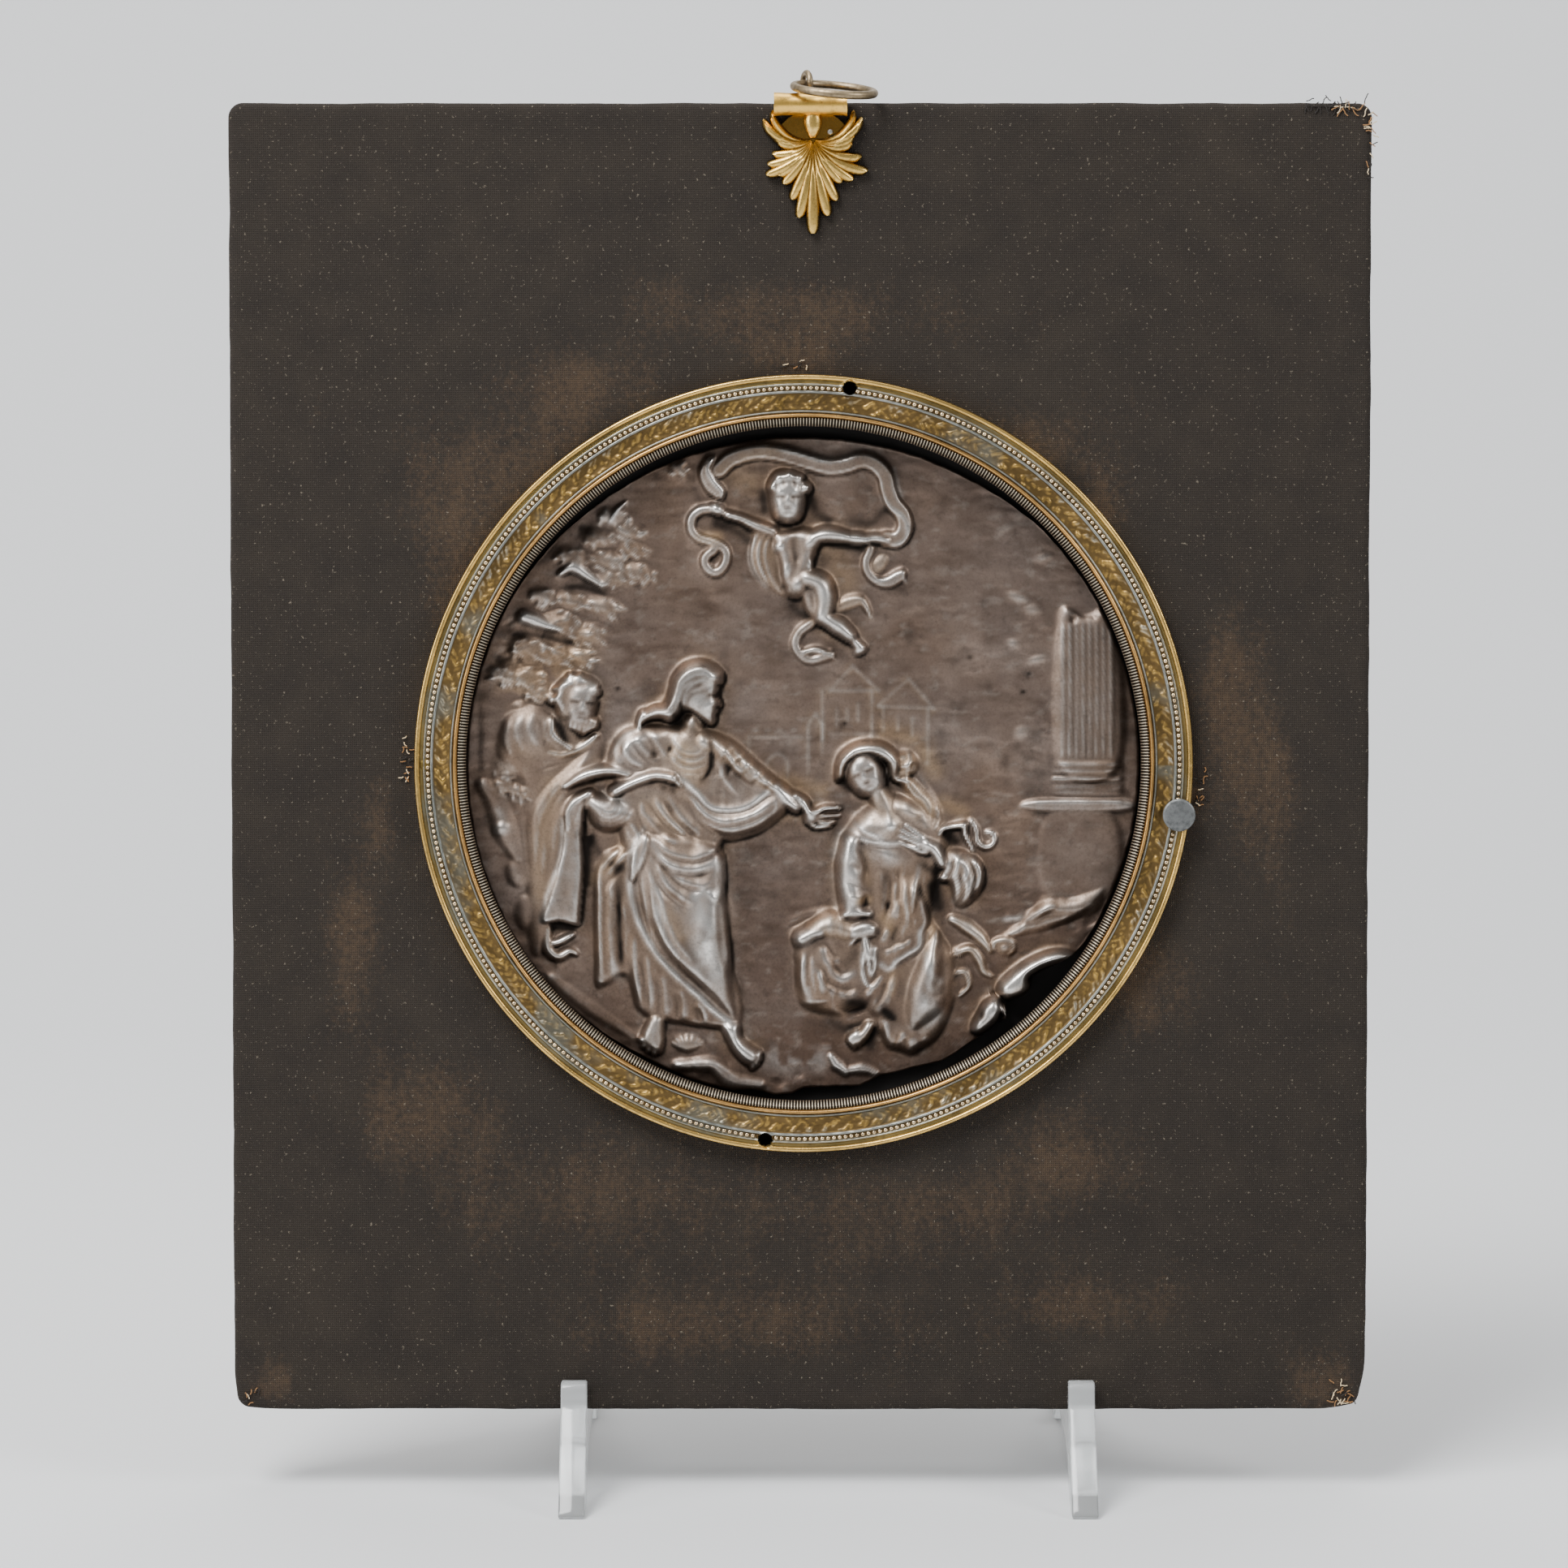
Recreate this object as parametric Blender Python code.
"""Round silver plaquette, recessed in a cloth-covered board behind a pressed brass moulding.

The board hangs by a gilt palmette with a loose ring, and leans here on a clear easel.
Metres, +Z up. The front faces -Y and the origin is under the middle of the easel's feet.
"""
import math

import bmesh
import bpy
import numpy as np
from mathutils import Euler, Matrix, Vector

# General fits
GAP = 0.0003
HOLE_CLEARANCE = 0.0003

# Cloth-covered board
BOARD_WIDTH = 0.234
BOARD_HEIGHT = 0.269
BOARD_THICKNESS = 0.008
BOARD_CORNER_RADIUS = 0.0032
BOARD_EDGE_ROUND = 0.0012
APERTURE_CLEARANCE = 0.00135
RING_OFFSET_X = 0.0007
RING_OFFSET_Z = -0.0008
PIN_HOLE_DEPTH = 0.005

# Card panel that closes the back of the board
PANEL_MARGIN = 0.004
PANEL_THICKNESS = 0.0015

# Silver plaquette
PLAQUETTE_MARGIN = 0.0009
PLAQUETTE_DROP = 0.0007
SHEET_THICKNESS = 0.0015
RELIEF_HEIGHT = 0.0054
RELIEF_CELLS = 44

# Brass ring moulding
RING_OUTER_RADIUS = 0.0798
RING_WIDTH = 0.01065
RING_HEIGHT = 0.0033
RING_SEGMENTS = 64
RING_HOLE_DIAMETER = 0.0027
RING_HOLE_INSET = 0.0023
RING_PIN_ANGLES = {"top": 83.0, "left": 180.0, "bottom": 264.2, "right": -7.6}

# Dull brass pin on the left and grey nail on the right
BRASS_PIN_HEAD_RISE = 0.0027
NAIL_HEAD_DIAMETER = 0.0067
NAIL_HEAD_THICKNESS = 0.0008
NAIL_SHANK_DIAMETER = 0.0018

# Gilt palmette with its rolled top
PALMETTE_OFFSET_X = 0.0026
PALMETTE_DROP = 0.0095
PALMETTE_LENGTH = 0.0173
PALMETTE_THICKNESS = 0.0011
FROND_RISE = 0.0009
BOSS_WIDTH = 0.0037
BOSS_HEIGHT = 0.0067
BOSS_RISE = 0.0012
ROLL_DIAMETER = 0.0048
ROLL_BORE = 0.0034
ROLL_LENGTH = 0.0149
ROLL_SHIFT_X = -0.0005
ROLL_DROP = 0.0007
PALMETTE_PIN_DIAMETER = 0.0012
PALMETTE_PIN_OFFSET = (0.0035, 0.0032)

# Screw eye in the board's top edge and the loose ring through it
EYE_OFFSET_X = 0.0013
EYE_RADIUS = 0.0021
EYE_WIRE_DIAMETER = 0.00124
EYE_CENTRE_HEIGHT = 0.0040
EYE_TURN = 20.0
EYE_SHANK_DEPTH = 0.006
HANG_RING_RADIUS = 0.0082
HANG_RING_WIRE_DIAMETER = 0.0017
HANG_RING_OFFSET = (0.0056, -0.0060)
HANG_RING_TILT_FORWARD = 10.0
HANG_RING_TILT_SIDE = 5.2
HANG_RING_REST = 0.00035

# Clear easel
LEAN = 5.0
BOARD_CLEARANCE_BELOW = 0.017
SIDE_THICKNESS = 0.0054
SIDE_LEFT_X = -0.0465
SIDE_RIGHT_X = 0.0579
LIP_HEIGHT = 0.0067
LIP_THICKNESS = 0.005
FOOT_FORWARD = 0.018
FOOT_LENGTH = 0.014
ARCH_HEIGHT = 0.008
EASEL_DEPTH = 0.098
POST_HEIGHT = 0.120
POST_THICKNESS = 0.009
POST_SWEEP = 0.03
CROSSBAR_DIAMETER = 0.007
CROSSBAR_HEIGHT = 0.030

# The carving is drawn on a disc of 68.7 units, so one unit follows the plaquette's radius
DRAWING_RADIUS = 69.6

# Places that follow from the sizes above, in the board's own frame:
# x to the right, y into the board from its front face, z up from its bottom edge
RING_INNER_RADIUS = RING_OUTER_RADIUS - RING_WIDTH
APERTURE_RADIUS = RING_INNER_RADIUS + APERTURE_CLEARANCE
PLAQUETTE_RADIUS = APERTURE_RADIUS - PLAQUETTE_MARGIN
UNIT = PLAQUETTE_RADIUS / DRAWING_RADIUS
RING_X = RING_OFFSET_X
RING_Z = BOARD_HEIGHT / 2 + RING_OFFSET_Z
PLAQUETTE_Z = RING_Z - PLAQUETTE_DROP
PLAQUETTE_BACK = BOARD_THICKNESS - GAP
STACK_THICKNESS = BOARD_THICKNESS + GAP + PANEL_THICKNESS
PALMETTE_Z = BOARD_HEIGHT - PALMETTE_DROP
ROLL_RADIUS = ROLL_DIAMETER / 2
ROLL_Y = -GAP - ROLL_RADIUS
ROLL_Z = BOARD_HEIGHT - ROLL_DROP
ROLL_X = PALMETTE_OFFSET_X + ROLL_SHIFT_X
EYE_Y = BOARD_THICKNESS / 2
EYE_Z = BOARD_HEIGHT + EYE_CENTRE_HEIGHT
BOARD_FRONT_Y = -EASEL_DEPTH / 2 + FOOT_FORWARD + LIP_THICKNESS + GAP


def clear_scene():
    for old in list(bpy.data.objects):
        bpy.data.objects.remove(old, do_unlink=True)


def material(name, colour, roughness, metallic=0.0, transmission=0.0):
    made = bpy.data.materials.new(name)
    made.use_nodes = True
    shader = made.node_tree.nodes["Principled BSDF"]
    shader.inputs["Base Color"].default_value = (*colour, 1.0)
    shader.inputs["Roughness"].default_value = roughness
    shader.inputs["Metallic"].default_value = metallic
    shader.inputs["Transmission Weight"].default_value = transmission
    return made


def link(name, mesh, finish, parent=None):
    body = bpy.data.objects.new(name, mesh)
    bpy.context.scene.collection.objects.link(body)
    mesh.materials.append(finish)
    body.parent = parent
    return body


def mesh_from(name, points, faces, smooth_angle=30.0):
    mesh = bpy.data.meshes.new(name)
    mesh.from_pydata([tuple(point) for point in points], [], faces)
    mesh.validate()
    work = bmesh.new()
    work.from_mesh(mesh)
    bmesh.ops.recalc_face_normals(work, faces=work.faces)
    work.to_mesh(mesh)
    work.free()
    mesh.shade_smooth()
    mesh.set_sharp_from_angle(angle=math.radians(smooth_angle))
    return mesh


def loft(loops, close_ends=True, close_loops=False):
    """Faces that join equal loops of points, with a flat cap on the first and the last."""
    size = len(loops[0])
    points = [point for loop in loops for point in loop]
    faces = []
    spans = len(loops) if close_loops else len(loops) - 1
    for span in range(spans):
        here = span * size
        there = (span + 1) % len(loops) * size
        for step in range(size):
            after = (step + 1) % size
            faces.append((here + step, here + after, there + after, there + step))
    if close_ends and not close_loops:
        faces.append(tuple(range(size)))
        faces.append(tuple(range((len(loops) - 1) * size, len(loops) * size)))
    return points, faces


def turned(name, profile, segments, closed=False):
    """A profile of (radius, height) turned about Z; an open profile starts and ends near the axis."""
    loops = []
    for radius, height in profile:
        loop = []
        for step in range(segments):
            angle = 2 * math.pi * step / segments
            loop.append((radius * math.cos(angle), radius * math.sin(angle), height))
        loops.append(loop)
    points, faces = loft(loops, close_loops=closed)
    return mesh_from(name, points, faces)


def rounded_rectangle(width, height, radius, inset=0.0, steps=4):
    """Outline of a plate from its bottom edge up, as (x, z) pairs."""
    half = width / 2 - inset
    top = height - inset
    bottom = inset
    fillet = max(radius - inset, radius * 0.3)
    centres = (
        (half - fillet, top - fillet, 0.0),
        (-half + fillet, top - fillet, 90.0),
        (-half + fillet, bottom + fillet, 180.0),
        (half - fillet, bottom + fillet, 270.0),
    )
    outline = []
    for x, z, start in centres:
        for step in range(steps + 1):
            angle = math.radians(start + 90.0 * step / steps)
            outline.append((x + fillet * math.cos(angle), z + fillet * math.sin(angle)))
    return outline


def filleted(corners, steps=4):
    """A closed outline whose corners (a, b, radius) are rounded by arcs."""
    outline = []
    count = len(corners)
    for index, (a, b, radius) in enumerate(corners):
        corner = Vector((a, b))
        before = (Vector(corners[index - 1][:2]) - corner)
        after = (Vector(corners[(index + 1) % count][:2]) - corner)
        if radius <= 0.0:
            outline.append(corner)
            continue
        half_angle = before.angle(after) / 2
        reach = min(radius / math.tan(half_angle), before.length * 0.49, after.length * 0.49)
        start = corner + before.normalized() * reach
        end = corner + after.normalized() * reach
        for step in range(steps + 1):
            share = step / steps
            outline.append(start.lerp(corner, share).lerp(corner.lerp(end, share), share))
    return outline


def cylinder(name, radius, low, high, axis, place, segments=12):
    """A cutter or pin along an axis of the board's frame, from low to high on that axis."""
    mesh = turned(name, [(radius, low), (radius, high)], segments)
    turn = Matrix()
    if axis == "y":
        turn = Matrix.Rotation(math.radians(-90), 4, "X")
    if axis == "x":
        turn = Matrix.Rotation(math.radians(90), 4, "Y")
    mesh.transform(Matrix.Translation(place) @ turn)
    return mesh


def apply_boolean(body, mesh, operation):
    """Cuts or joins one closed mesh, given in the body's own frame, and keeps the result."""
    tool = bpy.data.objects.new(body.name + "_tool", mesh)
    bpy.context.scene.collection.objects.link(tool)
    bpy.context.view_layer.update()
    tool.matrix_world = body.matrix_world
    modifier = body.modifiers.new("boolean", "BOOLEAN")
    modifier.operation = operation
    modifier.solver = "EXACT"
    modifier.object = tool
    bpy.context.view_layer.update()
    graph = bpy.context.evaluated_depsgraph_get()
    result = bpy.data.meshes.new_from_object(body.evaluated_get(graph))
    finish = body.data.materials[0]
    body.modifiers.clear()
    body.data = result
    result.materials.clear()
    result.materials.append(finish)
    bpy.data.objects.remove(tool, do_unlink=True)


def ring_point(angle, inset):
    """A place on the moulding, given by its angle and its distance in from the outer edge."""
    radius = RING_OUTER_RADIUS - inset
    turn = math.radians(angle)
    return RING_X + radius * math.cos(turn), RING_Z + radius * math.sin(turn)


def mount_board(frame, cloth):
    """Board with rounded front edges, the round aperture and the pins' holes."""
    levels = [
        (0.0, BOARD_EDGE_ROUND),
        (BOARD_EDGE_ROUND * 0.3, BOARD_EDGE_ROUND * 0.3),
        (BOARD_EDGE_ROUND, 0.0),
        (BOARD_THICKNESS - BOARD_EDGE_ROUND / 2, 0.0),
        (BOARD_THICKNESS, BOARD_EDGE_ROUND / 2),
    ]
    loops = []
    for depth, inset in levels:
        outline = rounded_rectangle(BOARD_WIDTH, BOARD_HEIGHT, BOARD_CORNER_RADIUS, inset)
        loops.append([(x, depth, z) for x, z in outline])
    points, faces = loft(loops)
    board = link("mount_board", mesh_from("mount_board", points, faces), cloth, frame)
    past = BOARD_THICKNESS
    aperture = cylinder("aperture", APERTURE_RADIUS, -past, 2 * past, "y", (RING_X, 0, RING_Z),
                        RING_SEGMENTS)
    apply_boolean(board, aperture, "DIFFERENCE")
    for side, angle in RING_PIN_ANGLES.items():
        diameter = NAIL_SHANK_DIAMETER if side == "right" else RING_HOLE_DIAMETER
        x, z = ring_point(angle, RING_HOLE_INSET)
        hole = cylinder("hole", diameter / 2 + HOLE_CLEARANCE, -past, PIN_HOLE_DEPTH, "y", (x, 0, z))
        apply_boolean(board, hole, "DIFFERENCE")
    pin_x = PALMETTE_OFFSET_X + PALMETTE_PIN_OFFSET[0]
    pin_z = PALMETTE_Z + PALMETTE_PIN_OFFSET[1]
    hole_radius = PALMETTE_PIN_DIAMETER / 2 + HOLE_CLEARANCE
    hole = cylinder("hole", hole_radius, -past, PIN_HOLE_DEPTH, "y", (pin_x, 0, pin_z), 8)
    apply_boolean(board, hole, "DIFFERENCE")
    shank_hole = EYE_WIRE_DIAMETER / 2 + HOLE_CLEARANCE
    floor = BOARD_HEIGHT - EYE_SHANK_DEPTH - GAP
    hole = cylinder("hole", shank_hole, floor, BOARD_HEIGHT + past, "z", (EYE_OFFSET_X, EYE_Y, 0), 8)
    apply_boolean(board, hole, "DIFFERENCE")
    return board


def back_panel(frame, card):
    width = BOARD_WIDTH - 2 * PANEL_MARGIN
    height = BOARD_HEIGHT - 2 * PANEL_MARGIN
    outline = rounded_rectangle(width, height, BOARD_CORNER_RADIUS / 2)
    loops = [[(x, depth, z) for x, z in outline] for depth in (0.0, PANEL_THICKNESS)]
    points, faces = loft(loops)
    panel = link("back_panel", mesh_from("back_panel", points, faces), card, frame)
    panel.location = (0.0, BOARD_THICKNESS + GAP, PANEL_MARGIN)
    return panel


def moulding_profile():
    """Section of the moulding from its outer edge in, as shares of its width and its height."""
    shares = (
        (0.000, 0.00),
        (0.000, 0.55),
        (0.045, 0.85),
        (0.110, 0.92),
        (0.180, 0.70),
        (0.240, 0.98),
        (0.330, 0.90),
        (0.480, 0.62),
        (0.650, 0.72),
        (0.735, 1.00),
        (0.820, 0.78),
        (1.000, 0.30),
        (1.000, 0.00),
    )
    return [(RING_OUTER_RADIUS - across * RING_WIDTH, rise * RING_HEIGHT) for across, rise in shares]


def ring_frame(frame, brass):
    """Pressed brass moulding, turned as one ring and pierced by its four pin holes."""
    mesh = turned("ring_frame", moulding_profile(), RING_SEGMENTS, closed=True)
    ring = link("ring_frame", mesh, brass, frame)
    ring.location = (RING_X, -GAP, RING_Z)
    ring.rotation_euler = (math.radians(90), 0.0, 0.0)
    for side, angle in RING_PIN_ANGLES.items():
        diameter = NAIL_SHANK_DIAMETER if side == "right" else RING_HOLE_DIAMETER
        radius = RING_OUTER_RADIUS - RING_HOLE_INSET
        turn = math.radians(angle)
        place = (radius * math.cos(turn), radius * math.sin(turn), 0)
        cutter = cylinder("hole", diameter / 2 + HOLE_CLEARANCE, -RING_HEIGHT, 2 * RING_HEIGHT, "z",
                          place, 10)
        apply_boolean(ring, cutter, "DIFFERENCE")
    return ring


def brass_pin(frame, dull_brass):
    radius = RING_HOLE_DIAMETER / 2
    profile = [
        (radius * 0.55, BRASS_PIN_HEAD_RISE),
        (radius, BRASS_PIN_HEAD_RISE - radius * 0.3),
        (radius, GAP - PIN_HOLE_DEPTH),
    ]
    pin = link("brass_pin", turned("brass_pin", profile, 12), dull_brass, frame)
    x, z = ring_point(RING_PIN_ANGLES["left"], RING_HOLE_INSET)
    pin.location = (x, 0.0, z)
    pin.rotation_euler = (math.radians(90), 0.0, 0.0)
    return pin


def grey_nail(frame, zinc):
    """Flat head that lies on the moulding's crests, with its shank down into the board."""
    under = RING_HEIGHT + 2 * GAP
    head = NAIL_HEAD_DIAMETER / 2
    shank = NAIL_SHANK_DIAMETER / 2
    profile = [
        (head * 0.9, under + NAIL_HEAD_THICKNESS),
        (head, under + NAIL_HEAD_THICKNESS * 0.6),
        (head, under + NAIL_HEAD_THICKNESS * 0.2),
        (head * 0.93, under),
        (shank, under),
        (shank, GAP - PIN_HOLE_DEPTH),
    ]
    nail = link("grey_nail", turned("grey_nail", profile, 20), zinc, frame)
    x, z = ring_point(RING_PIN_ANGLES["right"], RING_HOLE_INSET)
    nail.location = (x, 0.0, z)
    nail.rotation_euler = (math.radians(90), 0.0, 0.0)
    return nail


# Fronds of the palmette round its root: angle, and length as a share of the longest frond
FRONDS = (
    (14, 0.47), (24, 0.58), (33, 0.66), (44, 0.62), (58, 0.50), (90, 0.45), (122, 0.50), (137, 0.66),
    (151, 0.67), (161, 0.54), (172, 0.46), (188, 0.47), (201, 0.57), (211, 0.64), (228, 0.53),
    (247, 0.63), (259, 0.83), (271, 1.00), (282, 0.80), (296, 0.68), (321, 0.57), (338, 0.68), (353, 0.52),
)


def palmette_hanger(frame, gilt):
    """Stamped leaf of radiating fronds with a boss, and the rolled tube along its top."""
    directions = []
    count = len(FRONDS)
    for index, (angle, share) in enumerate(FRONDS):
        after_angle, after_share = FRONDS[(index + 1) % count]
        if after_angle < angle:
            after_angle += 360.0
        span = after_angle - angle
        directions.append((angle - 2.2, share * 0.97, 0.9))
        directions.append((angle + 2.2, share * 0.97, 0.9))
        directions.append((angle + span / 2, min(share, after_share) * 0.80, 0.25))
    loops = []
    for reach, lift in ((0.10, 1.0), (0.45, 1.0), (0.80, 0.8), (1.0, 0.45)):
        loop = []
        for angle, share, crest in directions:
            turn = math.radians(angle)
            length = PALMETTE_LENGTH * share * reach
            height = PALMETTE_THICKNESS + FROND_RISE * lift * crest
            loop.append((length * math.cos(turn), -height, length * math.sin(turn)))
        loops.append(loop)
    loops.append([(x, 0.0, z) for x, y, z in loops[-1]])
    points, faces = loft(loops)
    leaf = link("palmette_hanger", mesh_from("palmette_hanger", points, faces), gilt, frame)
    leaf.location = (PALMETTE_OFFSET_X, -GAP, PALMETTE_Z)
    rings = [(abs(math.sin(t)), math.cos(t)) for t in np.linspace(0.25, math.pi - 0.25, 8)]
    boss_loops = []
    for width_share, height_share in rings:
        loop = []
        for step in range(12):
            angle = 2 * math.pi * step / 12
            x = BOSS_WIDTH / 2 * width_share * math.cos(angle)
            y = -(PALMETTE_THICKNESS + BOSS_RISE) * width_share * math.sin(angle)
            loop.append((x, min(y, -GAP), BOSS_HEIGHT / 2 * height_share + BOSS_HEIGHT * 0.55))
        boss_loops.append(loop)
    points, faces = loft(boss_loops)
    apply_boolean(leaf, mesh_from("boss", points, faces), "UNION")
    roll_place = (ROLL_X - PALMETTE_OFFSET_X, ROLL_Y + GAP, ROLL_Z - PALMETTE_Z)
    half = ROLL_LENGTH / 2
    apply_boolean(leaf, cylinder("roll", ROLL_RADIUS, -half, half, "x", roll_place, 20), "UNION")
    bore = cylinder("bore", ROLL_BORE / 2, -ROLL_LENGTH, ROLL_LENGTH, "x", roll_place, 14)
    apply_boolean(leaf, bore, "DIFFERENCE")
    hole_radius = PALMETTE_PIN_DIAMETER / 2 + HOLE_CLEARANCE
    hole_place = (PALMETTE_PIN_OFFSET[0], 0.0, PALMETTE_PIN_OFFSET[1])
    reach = PALMETTE_THICKNESS + FROND_RISE + BOSS_RISE
    apply_boolean(leaf, cylinder("hole", hole_radius, -2 * reach, reach, "y", hole_place, 8), "DIFFERENCE")
    return leaf


def palmette_pin(frame, steel):
    radius = PALMETTE_PIN_DIAMETER / 2
    top = GAP + PALMETTE_THICKNESS + FROND_RISE
    profile = [(radius * 0.6, top + radius * 0.7), (radius, top + radius * 0.3),
               (radius, GAP - PIN_HOLE_DEPTH)]
    pin = link("palmette_pin", turned("palmette_pin", profile, 8), steel, frame)
    pin.location = (PALMETTE_OFFSET_X + PALMETTE_PIN_OFFSET[0], 0.0, PALMETTE_Z + PALMETTE_PIN_OFFSET[1])
    pin.rotation_euler = (math.radians(90), 0.0, 0.0)
    return pin


def wire(name, centres, radius, sides, closed):
    """Round wire along points that lie in the local XZ plane."""
    loops = []
    count = len(centres)
    for index, centre in enumerate(centres):
        before = centres[index - 1] if closed or index else centre
        after = centres[(index + 1) % count] if closed or index < count - 1 else centre
        tangent = (Vector(after) - Vector(before)).normalized()
        across = tangent.cross(Vector((0, 1, 0))).normalized()
        loop = []
        for step in range(sides):
            angle = 2 * math.pi * step / sides
            outward = across * math.cos(angle) + Vector((0, 1, 0)) * math.sin(angle)
            loop.append(Vector(centre) + outward * radius)
        loops.append(loop)
    points, faces = loft(loops, close_loops=closed)
    return mesh_from(name, points, faces, 60.0)


def screw_eye(frame, brass_wire):
    """Wire eye whose end stops just short of the shank that goes down into the board."""
    stop = 2 * math.asin(min(1.0, (EYE_WIRE_DIAMETER + GAP) / (2 * EYE_RADIUS)))
    turns = np.linspace(-math.pi / 2 + 0.25, 1.5 * math.pi - stop - 0.05, 20)
    centres = [(0.0, 0.0, -EYE_CENTRE_HEIGHT - EYE_SHANK_DEPTH),
               (0.0, 0.0, -EYE_RADIUS - EYE_WIRE_DIAMETER * 0.8)]
    centres += [(EYE_RADIUS * math.cos(t), 0.0, EYE_RADIUS * math.sin(t)) for t in turns]
    eye = link("screw_eye", wire("screw_eye", centres, EYE_WIRE_DIAMETER / 2, 8, False), brass_wire, frame)
    eye.location = (EYE_OFFSET_X, EYE_Y, EYE_Z)
    eye.rotation_euler = (0.0, 0.0, math.radians(90 + EYE_TURN))
    return eye


def hanging_ring(frame, brass_wire):
    """Loose ring through the eye, resting on the roll and tipped forward over the palmette."""
    turns = [2 * math.pi * step / 28 for step in range(28)]
    centres = [(HANG_RING_RADIUS * math.cos(t), 0.0, HANG_RING_RADIUS * math.sin(t)) for t in turns]
    mesh = wire("hanging_ring", centres, HANG_RING_WIRE_DIAMETER / 2, 8, True)
    mesh.transform(Matrix.Rotation(math.radians(90), 4, "X"))
    ring = link("hanging_ring", mesh, brass_wire, frame)
    side_drop = HANG_RING_RADIUS * math.sin(math.radians(HANG_RING_TILT_SIDE))
    centre_y = EYE_Y + HANG_RING_OFFSET[1]
    forward = math.tan(math.radians(HANG_RING_TILT_FORWARD)) * (ROLL_Y - centre_y)
    rest = ROLL_Z + ROLL_RADIUS + HANG_RING_REST + HANG_RING_WIRE_DIAMETER / 2
    ring.location = (EYE_OFFSET_X + HANG_RING_OFFSET[0], centre_y, rest - side_drop - forward)
    forward_tilt = math.radians(HANG_RING_TILT_FORWARD)
    ring.rotation_euler = Euler((forward_tilt, math.radians(HANG_RING_TILT_SIDE), 0.0))
    return ring


def on_board(depth, rise):
    """World (y, z) of a place beside the board, given by its depth into it and its height on it."""
    lean = math.radians(LEAN)
    y = BOARD_FRONT_Y + depth * math.cos(lean) + rise * math.sin(lean)
    z = BOARD_CLEARANCE_BELOW - depth * math.sin(lean) + rise * math.cos(lean)
    return y, z


def easel_side(name, x, acrylic):
    """Clear side plate: front foot, lip, ledge, sloping post, rear foot and the arch between."""
    front = -EASEL_DEPTH / 2
    back = EASEL_DEPTH / 2
    lip_y = -GAP - LIP_THICKNESS
    post_y = STACK_THICKNESS + GAP
    corners = [
        (front, 0.0, 0.001),
        (*on_board(lip_y, LIP_HEIGHT * 0.3), 0.004),
        (*on_board(lip_y, LIP_HEIGHT), LIP_THICKNESS * 0.45),
        (*on_board(-GAP, LIP_HEIGHT), LIP_THICKNESS * 0.3),
        (*on_board(-GAP, -GAP), 0.0),
        (*on_board(post_y, -GAP), 0.0),
        (*on_board(post_y, POST_HEIGHT), POST_THICKNESS * 0.3),
        (*on_board(post_y + POST_THICKNESS, POST_HEIGHT), POST_THICKNESS * 0.4),
        (*on_board(post_y + POST_THICKNESS * 1.2, POST_HEIGHT * 0.45), POST_SWEEP),
        (back, 0.004, 0.003),
        (back, 0.0, 0.001),
        (back - FOOT_LENGTH, 0.0, 0.002),
        (back - FOOT_LENGTH * 1.9, ARCH_HEIGHT, 0.012),
        (front + FOOT_LENGTH * 1.9, ARCH_HEIGHT, 0.012),
        (front + FOOT_LENGTH, 0.0, 0.002),
    ]
    outline = filleted(corners)
    half = SIDE_THICKNESS / 2
    loops = [[(side, point.x, point.y) for point in outline] for side in (-half, half)]
    points, faces = loft(loops)
    plate = link(name, mesh_from(name, points, faces), acrylic)
    plate.location = (x, 0.0, 0.0)
    bevel = plate.modifiers.new("polished edges", "BEVEL")
    bevel.width = 0.0005
    bevel.segments = 1
    bevel.limit_method = "ANGLE"
    bevel.angle_limit = math.radians(60)
    return plate


def stand_crossbar(acrylic):
    """Clear rod glued between the two side plates behind the board."""
    length = SIDE_RIGHT_X - SIDE_LEFT_X - SIDE_THICKNESS - 2 * GAP
    y, z = on_board(STACK_THICKNESS + GAP + POST_THICKNESS, CROSSBAR_HEIGHT)
    bar = turned("stand_crossbar", [(CROSSBAR_DIAMETER / 2, -length / 2),
                                    (CROSSBAR_DIAMETER / 2, length / 2)], 16)
    rod = link("stand_crossbar", bar, acrylic)
    rod.location = ((SIDE_LEFT_X + SIDE_RIGHT_X) / 2, y, z)
    rod.rotation_euler = (0.0, math.radians(90), 0.0)
    return rod


def smooth(points, closed=False, steps=5):
    """A smooth curve through a few points of the drawing."""
    nodes = np.asarray(points, dtype=float)
    if closed:
        nodes = np.vstack([nodes[-1:], nodes, nodes[:2]])
    else:
        nodes = np.vstack([2 * nodes[:1] - nodes[1:2], nodes, 2 * nodes[-1:] - nodes[-2:-1]])
    share = np.linspace(0.0, 1.0, steps, endpoint=False)[:, None]
    pieces = []
    for a, b, c, d in zip(nodes[:-3], nodes[1:-2], nodes[2:-1], nodes[3:]):
        bend = (2 * a - 5 * b + 4 * c - d) * share ** 2 + (3 * b - a - 3 * c + d) * share ** 3
        pieces.append(b + 0.5 * ((c - a) * share + bend))
    pieces.append(nodes[1:2] if closed else nodes[-2:-1])
    return np.vstack(pieces)


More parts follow.
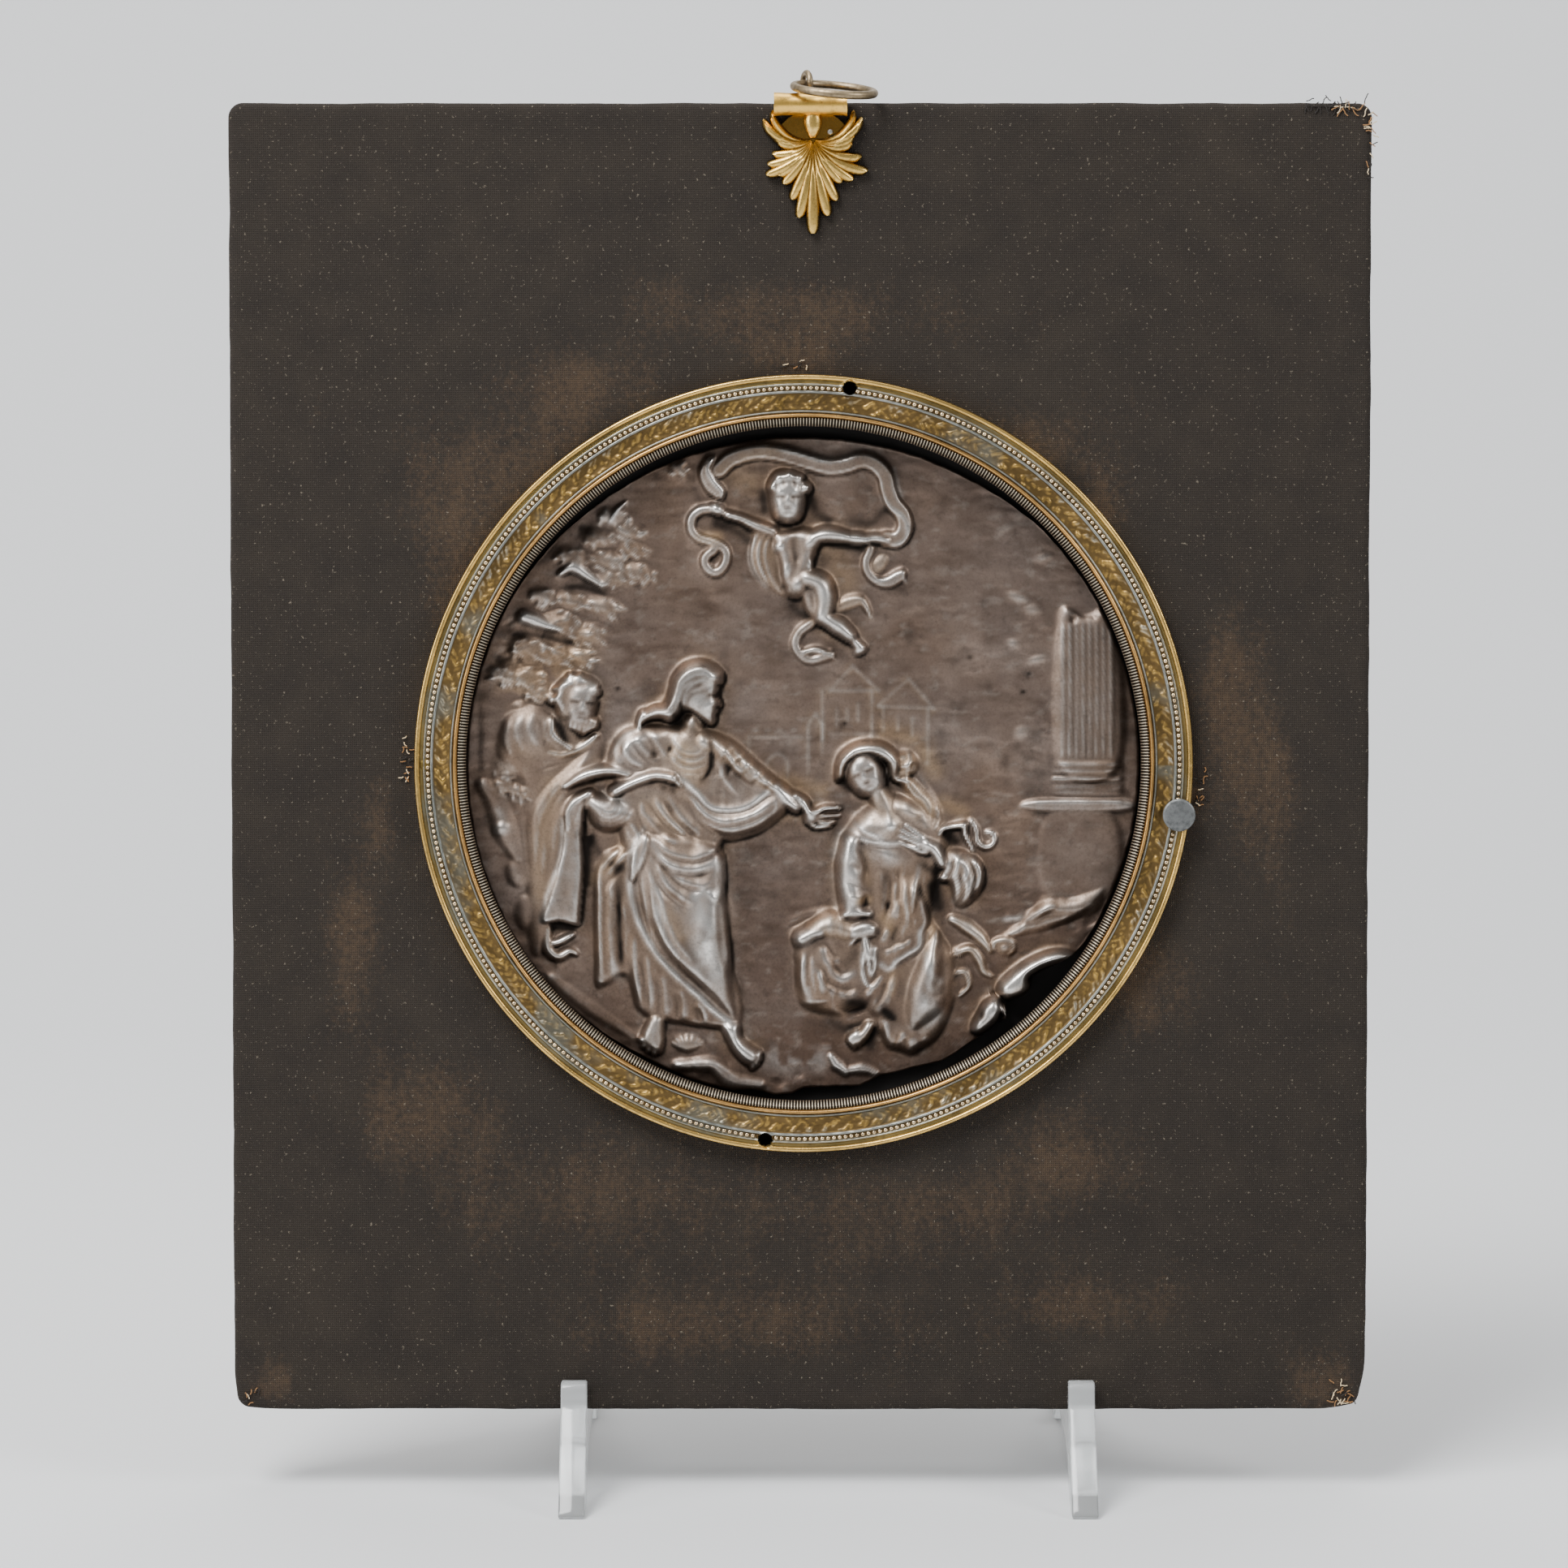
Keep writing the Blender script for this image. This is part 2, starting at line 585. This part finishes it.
class Carving:
    """Height over the disc, in drawing units, on which the forms are laid one after another."""

    def __init__(self, step):
        count = 2 * int(round(DRAWING_RADIUS / step)) + 1
        self.axis = np.linspace(-DRAWING_RADIUS, DRAWING_RADIUS, count)
        self.step = self.axis[1] - self.axis[0]
        self.height = np.zeros((count, count))

    def window(self, low, high):
        first = np.searchsorted(self.axis, low)
        last = np.searchsorted(self.axis, high)
        return slice(first[1], last[1]), slice(first[0], last[0])

    def trace(self, curve, reach):
        """Distance to a curve and the share of the way along it, for the cells within reach."""
        rows, columns = self.window(curve.min(axis=0) - reach, curve.max(axis=0) + reach)
        u = self.axis[columns][None, :]
        w = self.axis[rows][:, None]
        nearest = np.full((w.shape[0], u.shape[1]), 4.0 * reach ** 2)
        along = np.zeros_like(nearest)
        runs = np.linalg.norm(np.diff(curve, axis=0), axis=1)
        walked = np.concatenate([[0.0], np.cumsum(runs)]) / max(runs.sum(), 1e-9)
        for index, (start, end) in enumerate(zip(curve[:-1], curve[1:])):
            step = end - start
            share = ((u - start[0]) * step[0] + (w - start[1]) * step[1]) / max(step @ step, 1e-12)
            share = np.clip(share, 0.0, 1.0)
            square = (u - start[0] - share * step[0]) ** 2 + (w - start[1] - share * step[1]) ** 2
            closer = square < nearest
            nearest[closer] = square[closer]
            way = walked[index] + share * (walked[index + 1] - walked[index])
            along[closer] = way[closer]
        return rows, columns, np.sqrt(nearest), along

    def limb(self, points, radii, rise):
        """A rounded, tapering form along a curve, such as an arm or a rolled edge."""
        rows, columns, distance, along = self.trace(smooth(points), max(radii))
        radius = np.interp(along, np.linspace(0.0, 1.0, len(radii)), radii)
        form = rise * np.sqrt(np.clip(1.0 - (distance / radius) ** 2, 0.0, 1.0))
        self.height[rows, columns] = np.maximum(self.height[rows, columns], form)

    def mass(self, outline, rise, edge):
        """A filled outline whose sides round over to a level top."""
        curve = smooth(outline, closed=True)
        rows, columns, distance, along = self.trace(curve, edge)
        u = self.axis[columns][None, :]
        w = self.axis[rows][:, None]
        inside = np.zeros(distance.shape, dtype=bool)
        for start, end in zip(curve[:-1], curve[1:]):
            if start[1] != end[1]:
                crosses = (start[1] > w) != (end[1] > w)
                at = start[0] + (w - start[1]) * (end[0] - start[0]) / (end[1] - start[1])
                inside ^= crosses & (u < at)
        share = np.clip(distance / edge, 0.0, 1.0)
        form = np.where(inside, rise * np.sqrt(1.0 - (1.0 - share) ** 2), 0.0)
        self.height[rows, columns] = np.maximum(self.height[rows, columns], form)

    def dome(self, centre, half_width, half_height, rise, turn=0.0):
        """A rounded oval, such as a head or a knee."""
        reach = max(half_width, half_height)
        centre = np.asarray(centre, dtype=float)
        rows, columns = self.window(centre - reach, centre + reach)
        u = self.axis[columns][None, :] - centre[0]
        w = self.axis[rows][:, None] - centre[1]
        lean = math.radians(turn)
        across = (u * math.cos(lean) + w * math.sin(lean)) / half_width
        up = (w * math.cos(lean) - u * math.sin(lean)) / half_height
        form = rise * np.sqrt(np.clip(1.0 - across ** 2 - up ** 2, 0.0, 1.0))
        self.height[rows, columns] = np.maximum(self.height[rows, columns], form)

    def fold(self, points, width, rise):
        """A soft ridge laid on what is there; a negative rise cuts a valley."""
        rows, columns, distance, along = self.trace(smooth(points), 2.5 * width)
        ends = np.clip(np.minimum(along, 1.0 - along) * 6.0, 0.0, 1.0)
        self.height[rows, columns] += rise * ends * np.exp(-(distance / width) ** 2)

    def level(self, passes):
        """Evens out what is finer than the mesh can carry."""
        for _ in range(passes):
            padded = np.pad(self.height, 1, mode="edge")
            self.height = (padded[:-2, 1:-1] + padded[2:, 1:-1] + padded[1:-1, :-2] + padded[1:-1, 2:]) / 4

    def read(self, u, w):
        """Height at any places, between the cells."""
        top = len(self.axis) - 2
        across = np.clip((u - self.axis[0]) / self.step, 0.0, top)
        up = np.clip((w - self.axis[0]) / self.step, 0.0, top)
        i = across.astype(int)
        j = up.astype(int)
        across = across - i
        up = up - j
        low = self.height[j, i] * (1 - across) + self.height[j, i + 1] * across
        high = self.height[j + 1, i] * (1 - across) + self.height[j + 1, i + 1] * across
        return low * (1 - up) + high * up


def carve_landscape(carving):
    """Tree on the left, ruined column on its pedestal on the right, rocks and bushes."""
    clusters = (
        (-39, 51, 4), (-43, 46, 5), (-36, 42, 4), (-48, 40, 6), (-39, 37, 5), (-42, 31, 5), (-56, 30, 6),
        (-50, 28, 5), (-45, 24, 5), (-59, 22, 6), (-52, 20, 5), (-61, 17, 5), (-55, 15, 5), (46, 34, 4),
        (46, 24, 4), (46, 15, 4), (48, 10, 4), (45, 7, 3), (-59, -2, 7),
    )
    for u, w, size in clusters:
        carving.dome((u, w), size * 1.2, size, 0.7, 20.0)
    carving.mass([(52.6, 0.5), (52.6, 30.3), (64.8, 30.3), (64.8, 0.5)], 1.1, 3.0)
    carving.mass([(50.5, -3.4), (50.5, 0.8), (66.0, 0.8), (66.5, -3.4)], 1.3, 1.0)
    carving.mass([(47.0, -9.8), (47.0, -6.6), (67.0, -6.6), (67.0, -9.8)], 1.4, 0.8)
    carving.mass([(50.0, -27.0), (50.0, -9.0), (65.0, -9.0), (64.0, -27.0)], 0.7, 1.5)
    carving.mass(
        [(41.0, -36.0), (45.0, -30.5), (49.0, -27.6), (55.5, -27.3), (62.5, -25.0), (59.0, -31.0),
         (50.0, -35.5)],
        1.6, 2.0)
    carving.limb([(-67, -4), (-62, -8), (-58.6, -13), (-57.8, -20)], [2.0, 2.6, 3.0, 1.5], 1.6)
    carving.limb([(-40, -52), (-26, -61), (-8, -65), (8, -63)], [1.5, 3.0, 3.4, 1.5], 1.4)


def carve_putto(carving):
    """Flying child who spreads a banderole across the top."""
    ribbon = [
        (-18.3, 54.5), (-20.8, 57.3), (-20.1, 61.5), (-17.6, 63.5), (-11.7, 64.7), (-5.9, 64.6),
        (-0.8, 62.3),
        (4.2, 60.8), (9.2, 61.8), (14.2, 61.8), (17.1, 59.3), (17.9, 55.6), (20.8, 51.6), (19.3, 47.6),
    ]
    carving.limb(ribbon, [2.0], 1.5)
    carving.limb([(-18.1, 52.6), (-22.6, 51.8), (-23.1, 48.9), (-20.4, 46.4), (-16.6, 44.5),
                  (-18.1, 40.4)], [1.6], 1.4)
    carving.limb([(16.6, 46.0), (13.1, 44.6), (12.8, 41.0), (15.5, 38.0), (20.5, 39.4)], [1.5], 1.4)
    carving.limb([(-10.4, 48.7), (-11.2, 43.7), (-9.7, 38.0), (-5.0, 34.2)], [2.0, 2.6, 2.2, 1.4], 1.8)
    carving.mass(
        [(-7.0, 48.5), (2.8, 48.0), (3.4, 42.0), (2.6, 36.0), (-1.7, 33.4), (-5.0, 36.5), (-6.4, 42.0)],
        3.0, 3.0)
    carving.limb([(-6.5, 48.4), (-12.4, 50.3), (-18.1, 52.6)], [2.3, 1.7, 1.5], 2.8)
    carving.limb([(2.0, 46.4), (7.0, 48.1), (13.1, 47.1), (17.6, 46.7)], [2.4, 1.9, 1.6, 1.2], 2.8)
    carving.limb([(0.8, 36.9), (4.8, 33.2), (4.2, 29.8), (8.6, 26.8), (11.9, 23.8)],
                 [3.2, 2.8, 1.9, 1.7, 1.5], 3.2)
    carving.limb([(1.7, 29.1), (-1.7, 27.1), (-2.2, 24.3), (0.3, 21.3), (3.0, 20.8), (5.9, 22.1)], [1.4],
                 1.2)
    carving.limb([(7.0, 32.8), (11.7, 34.7), (13.9, 31.0)], [1.5, 1.7, 1.0], 1.4)
    carving.dome((-3.2, 55.2), 3.9, 5.5, 3.9)


def carve_bearded_figure(carving):
    """Man behind on the left, in a long robe."""
    carving.mass(
        [(-59.5, 8.5), (-52.0, 9.0), (-46.0, 5.0), (-41.5, 5.5), (-46.0, -6.0), (-50.0, -22.0),
         (-53.5, -38.0),
         (-57.0, -33.0), (-57.5, -18.0), (-58.5, -4.0)], 1.7, 3.0)
    carving.limb([(-42.6, 6.0), (-48.6, 2.8), (-56.1, -1.3)], [1.6, 1.8, 1.4], 2.4)
    carving.limb([(-46.4, 8.5), (-46.0, 3.0)], [3.4, 2.6], 2.4)
    carving.dome((-46.7, 13.4), 5.1, 6.3, 3.6)


def carve_standing_figure(carving):
    """Long-haired figure in a mantle, who steps forward and holds up its fold in one arm."""
    carving.mass(
        [(-30.0, 7.0), (-39.5, 4.5), (-41.5, -4.0), (-37.0, -14.0), (-42.5, -27.0), (-42.9, -44.6),
         (-37.0, -44.5),
         (-31.8, -51.6), (-25.8, -53.1), (-13.2, -53.8), (-14.5, -42.0), (-16.6, -28.9), (-16.9, -15.9),
         (-9.0, -12.5), (-4.0, -6.0), (-10.0, 0.8), (-19.5, 6.8)], 2.9, 3.2)
    carving.mass(
        [(-48.7, -5.0), (-44.6, -6.5), (-45.3, -20.0), (-45.6, -29.0), (-46.3, -33.3), (-54.2, -31.8),
         (-51.1, -21.0), (-50.0, -12.0)], 3.3, 2.0)
    carving.limb([(-52.0, -34.5), (-51.2, -38.4), (-47.6, -37.6)], [1.6, 2.0, 1.2], 2.4)
    carving.limb([(-49.0, -5.6), (-44.4, -2.2), (-39.0, -0.4), (-35.0, -1.2)], [1.4, 2.2, 2.0, 1.2], 4.0)
    carving.dome((-39.2, -8.6), 5.2, 4.9, 4.2)
    carving.limb([(-37.4, -5.5), (-32.6, -3.4), (-28.6, -2.2), (-27.0, -3.4)], [1.9, 1.7, 1.6, 1.5], 4.8)
    carving.mass(
        [(-26.8, -1.4), (-21.8, -5.0), (-16.9, -9.3), (-11.1, -7.6), (-4.2, -4.4), (1.4, -6.9), (-3.4, -9.6),
         (-7.7, -13.2), (-15.4, -15.2), (-21.4, -12.8), (-25.2, -7.6)], 4.4, 2.2)
    carving.limb([(0.0, -8.6), (2.2, -10.4), (5.0, -10.2), (7.8, -9.4)], [1.4, 1.7, 1.2, 0.8], 3.6)
    carving.mass(
        [(-33.5, -12.0), (-31.8, -16.6), (-34.7, -25.0), (-33.3, -34.3), (-27.9, -42.5), (-21.0, -49.0),
         (-13.4, -53.4), (-14.4, -45.0), (-16.2, -28.9), (-17.0, -17.0), (-24.0, -19.0)], 3.8, 2.6)
    carving.dome((-19.2, -33.5), 4.4, 9.0, 4.8, -6.0)
    carving.dome((-24.0, -1.5), 6.0, 6.5, 3.6)
    carving.limb([(-31.2, -52.0), (-31.0, -56.4), (-30.2, -58.8)], [1.7, 2.0, 1.4], 2.6)
    carving.limb([(-15.4, -54.0), (-13.2, -57.8), (-11.0, -61.0)], [1.7, 1.9, 1.6], 3.0)
    carving.limb([(-22.3, 8.6), (-22.0, 4.0)], [3.2, 3.4], 3.2)
    carving.limb([(-27.0, 15.0), (-27.4, 11.6), (-31.6, 11.2), (-33.4, 8.2)], [2.6, 2.4, 1.8, 1.0], 3.8)
    carving.dome((-21.6, 14.9), 5.5, 6.8, 5.2)
    for points, width, rise in (
        ([(-30.5, -14.5), (-27.5, -19.0), (-22.6, -20.6), (-17.6, -17.6)], 0.9, -0.8),
        ([(-30.0, -17.5), (-26.6, -23.6), (-21.6, -25.6), (-17.2, -22.6)], 0.9, -0.7),
        ([(-31.4, -19.0), (-30.0, -30.0), (-26.0, -38.0), (-18.0, -46.5)], 1.0, -0.8),
        ([(-38.6, -20.0), (-39.8, -42.5)], 0.9, -0.8),
        ([(-36.6, -26.0), (-36.4, -42.0)], 0.9, -0.7),
        ([(-19.7, 6.0), (-18.6, 2.6), (-20.4, -2.6)], 0.8, -0.7),
        ([(-15.8, 4.0), (-13.6, -0.6), (-16.0, -4.4)], 0.8, -0.6),
        ([(-22.0, -9.0), (-17.0, -12.4), (-10.0, -11.4), (-4.0, -7.6)], 0.9, -0.9),
    ):
        carving.fold(points, width, rise)


def carve_kneeling_figure(carving):
    """Woman kneeling on the right, one hand on the breast and the other hanging."""
    carving.mass(
        [(9.0, -12.5), (15.0, -7.5), (20.5, -9.0), (27.0, -10.5), (30.0, -16.0), (28.0, -22.0),
         (25.0, -31.0),
         (31.0, -39.0), (31.0, -49.0), (27.0, -57.0), (20.0, -59.4), (15.4, -55.0), (13.0, -50.5),
         (7.0, -51.2),
         (-1.0, -48.8), (-2.4, -35.5), (1.0, -32.0), (7.4, -30.0), (7.6, -20.0)], 2.7, 3.2)
    carving.mass(
        [(29.0, -17.4), (33.6, -17.0), (36.8, -20.5), (37.4, -25.0), (34.6, -29.0), (29.6, -28.6),
         (28.0, -23.0)],
        3.2, 2.4)
    carving.limb([(28.6, -12.9), (31.5, -11.9), (34.0, -14.0), (36.4, -16.6), (39.2, -15.2)], [1.0], 2.2)
    carving.limb([(10.6, -15.0), (10.4, -22.0), (11.2, -28.5)], [4.0, 4.2, 3.8], 4.4)
    carving.limb([(11.4, -28.0), (12.2, -32.4)], [3.9, 3.2], 4.2)
    carving.limb([(12.4, -35.0), (13.0, -40.0), (13.6, -44.6)], [1.8, 1.7, 1.0], 3.8)
    carving.limb([(28.0, -19.6), (24.8, -16.9), (20.6, -14.2)], [1.7, 2.1, 1.2], 4.4)
    carving.limb([(22.4, -3.8), (26.0, -9.0), (27.4, -13.0)], [2.4, 2.6, 1.8], 2.6)
    carving.limb([(16.0, -5.0), (18.0, -10.0)], [3.0, 3.2], 3.2)
    carving.limb([(7.6, -31.6), (3.0, -33.4), (-0.2, -35.6)], [4.0, 3.6, 2.9], 3.8)
    carving.limb([(0.2, -37.0), (1.8, -47.6)], [2.6, 3.4], 3.0)
    carving.mass(
        [(25.7, -32.7), (29.6, -35.6), (30.6, -40.0), (30.2, -46.0), (28.2, -51.8), (22.8, -55.6),
         (20.2, -50.5),
         (20.8, -43.0), (23.2, -37.0)], 4.8, 4.0)
    carving.limb([(13.0, -54.0), (10.8, -56.6), (9.2, -57.4)], [1.7, 1.6, 1.1], 2.6)
    carving.limb([(31.0, -33.0), (35.0, -35.0), (38.6, -39.0), (41.8, -36.6), (43.0, -38.6)],
                 [1.8, 1.6, 1.2], 2.0)
    carving.limb([(31.8, -40.2), (35.0, -38.8), (37.2, -41.2), (39.4, -43.4)], [1.4, 1.5, 1.0], 1.8)
    carving.dome((20.9, 1.4), 2.9, 2.9, 2.6)
    carving.dome((13.0, -0.8), 5.4, 6.0, 4.7, 25.0)
    for points, width, rise in (
        ([(23.2, -20.4), (22.8, -27.0), (24.4, -33.0), (20.6, -39.6)], 0.9, 0.7),
        ([(19.6, -22.0), (19.0, -30.0), (18.4, -38.0)], 0.9, -0.8),
        ([(5.0, -37.0), (7.6, -44.0), (12.0, -46.6)], 0.9, -0.8),
        ([(5.4, -48.0), (9.6, -52.0), (14.0, -48.5), (17.2, -42.5)], 0.9, 0.7),
        ([(9.8, -13.4), (14.6, -16.0), (20.0, -15.4)], 0.8, 0.6),
    ):
        carving.fold(points, width, rise)


def carve_dog(carving):
    """Dog that comes in from the lower right, its head down."""
    body = [(56.0, -39.4), (52.0, -39.9), (47.0, -41.4), (43.6, -44.4), (41.0, -46.6)]
    carving.limb(body, [1.4, 2.4, 3.1, 2.9, 1.8], 3.4)
    carving.limb([(39.6, -48.4), (38.2, -51.0), (36.0, -54.2)], [2.0, 2.7, 1.4], 3.6)


# The sheet's worn rim: how far it lies inside the nominal circle, by angle, in drawing units
RIM_LOSS = (
    (0, 0.4), (15, 0.3), (30, 0.3), (45, 0.4), (60, 1.4), (75, 1.8), (90, 2.0), (105, 1.6), (120, 1.3),
    (135, 0.8), (150, 0.2), (165, 0.1), (180, 0.2), (195, 0.4), (210, 0.8), (225, 0.8), (240, 2.4),
    (250, 1.6), (258, 1.6), (261, 2.9), (265, 1.9), (268, 2.4), (270, 4.3), (276, 4.5), (280, 3.5),
    (284, 5.3), (290, 4.8), (295, 3.3), (304, 3.1), (307, 3.4), (309, 4.2), (311, 4.4), (313, 4.0),
    (316, 4.3), (320, 4.2), (323, 2.0), (326, 1.0), (330, 0.8), (345, 0.6),
)


def rim_radius(angles):
    """Radius of the worn rim at any angle, in drawing units."""
    knots = [angle for angle, loss in RIM_LOSS]
    losses = [loss for angle, loss in RIM_LOSS]
    around = [knots[-1] - 360] + knots + [360]
    values = [losses[-1]] + losses + [losses[0]]
    return DRAWING_RADIUS - np.interp(np.degrees(angles) % 360, around, values)


def silver_plaquette(frame, silver):
    """The relief: a square net bent to the worn disc, raised by the carving, with a flat back."""
    carving = Carving(0.5)
    for carve in (
        carve_landscape, carve_putto, carve_bearded_figure, carve_standing_figure, carve_kneeling_figure,
        carve_dog,
    ):
        carve(carving)
    carving.level(5)
    ticks = np.linspace(-1.0, 1.0, RELIEF_CELLS + 1)
    ticks = ticks * (0.78 + 0.22 * ticks ** 2)
    across, up = np.meshgrid(ticks, ticks)
    u = across * np.sqrt(1.0 - up ** 2 / 2)
    w = up * np.sqrt(1.0 - across ** 2 / 2)
    share = np.hypot(u, w)
    radius = rim_radius(np.arctan2(w, u))
    u = u * radius
    w = w * radius
    lift = np.clip(carving.read(u, w), 0.0, RELIEF_HEIGHT / UNIT)
    lift = lift * np.clip((1.0 - share) * 14.0, 0.0, 1.0)
    size = RELIEF_CELLS + 1
    front = [(a * UNIT, -SHEET_THICKNESS - h * UNIT, b * UNIT) for a, b, h in zip(u.flat, w.flat, lift.flat)]
    faces = []
    for row in range(RELIEF_CELLS):
        for column in range(RELIEF_CELLS):
            corner = row * size + column
            faces.append((corner, corner + 1, corner + size + 1, corner + size))
    border = list(range(size - 1))
    border += [row * size + size - 1 for row in range(size - 1)]
    border += [size * size - 1 - step for step in range(size - 1)]
    border += [row * size for row in range(size - 1, 0, -1)]
    back = [(front[index][0], 0.0, front[index][2]) for index in border]
    count = len(border)
    first = size * size
    for step in range(count):
        after = (step + 1) % count
        faces.append((border[step], border[after], first + after, first + step))
    faces.append(tuple(first + step for step in range(count)))
    sheet = link("silver_plaquette", mesh_from("silver_plaquette", front + back, faces, 50.0), silver, frame)
    sheet.location = (RING_X, PLAQUETTE_BACK, PLAQUETTE_Z)
    return sheet


def build():
    clear_scene()
    cloth = material("dark book cloth", (0.040, 0.032, 0.027), 0.85)
    card = material("brown card", (0.19, 0.13, 0.08), 0.9)
    silver = material("toned silver", (0.36, 0.31, 0.28), 0.38, 1.0)
    brass = material("gilt brass", (0.55, 0.38, 0.16), 0.38, 1.0)
    dull_brass = material("dull brass", (0.23, 0.17, 0.08), 0.6, 1.0)
    zinc = material("grey nail", (0.22, 0.24, 0.25), 0.5, 1.0)
    gilt = material("bright gilt", (0.80, 0.58, 0.22), 0.28, 1.0)
    brass_wire = material("worn brass wire", (0.45, 0.38, 0.27), 0.42, 1.0)
    steel = material("pale steel pin", (0.62, 0.60, 0.56), 0.35, 1.0)
    acrylic = material("clear acrylic", (0.95, 0.97, 0.97), 0.05, 0.0, 1.0)

    frame = bpy.data.objects.new("board_frame", None)
    bpy.context.scene.collection.objects.link(frame)
    frame.location = (0.0, BOARD_FRONT_Y, BOARD_CLEARANCE_BELOW)
    frame.rotation_euler = (math.radians(-LEAN), 0.0, 0.0)
    bpy.context.view_layer.update()

    mount_board(frame, cloth)
    back_panel(frame, card)
    silver_plaquette(frame, silver)
    ring_frame(frame, brass)
    brass_pin(frame, dull_brass)
    grey_nail(frame, zinc)
    palmette_hanger(frame, gilt)
    palmette_pin(frame, steel)
    screw_eye(frame, brass_wire)
    hanging_ring(frame, brass_wire)
    easel_side("stand_side_left", SIDE_LEFT_X, acrylic)
    easel_side("stand_side_right", SIDE_RIGHT_X, acrylic)
    stand_crossbar(acrylic)


build()
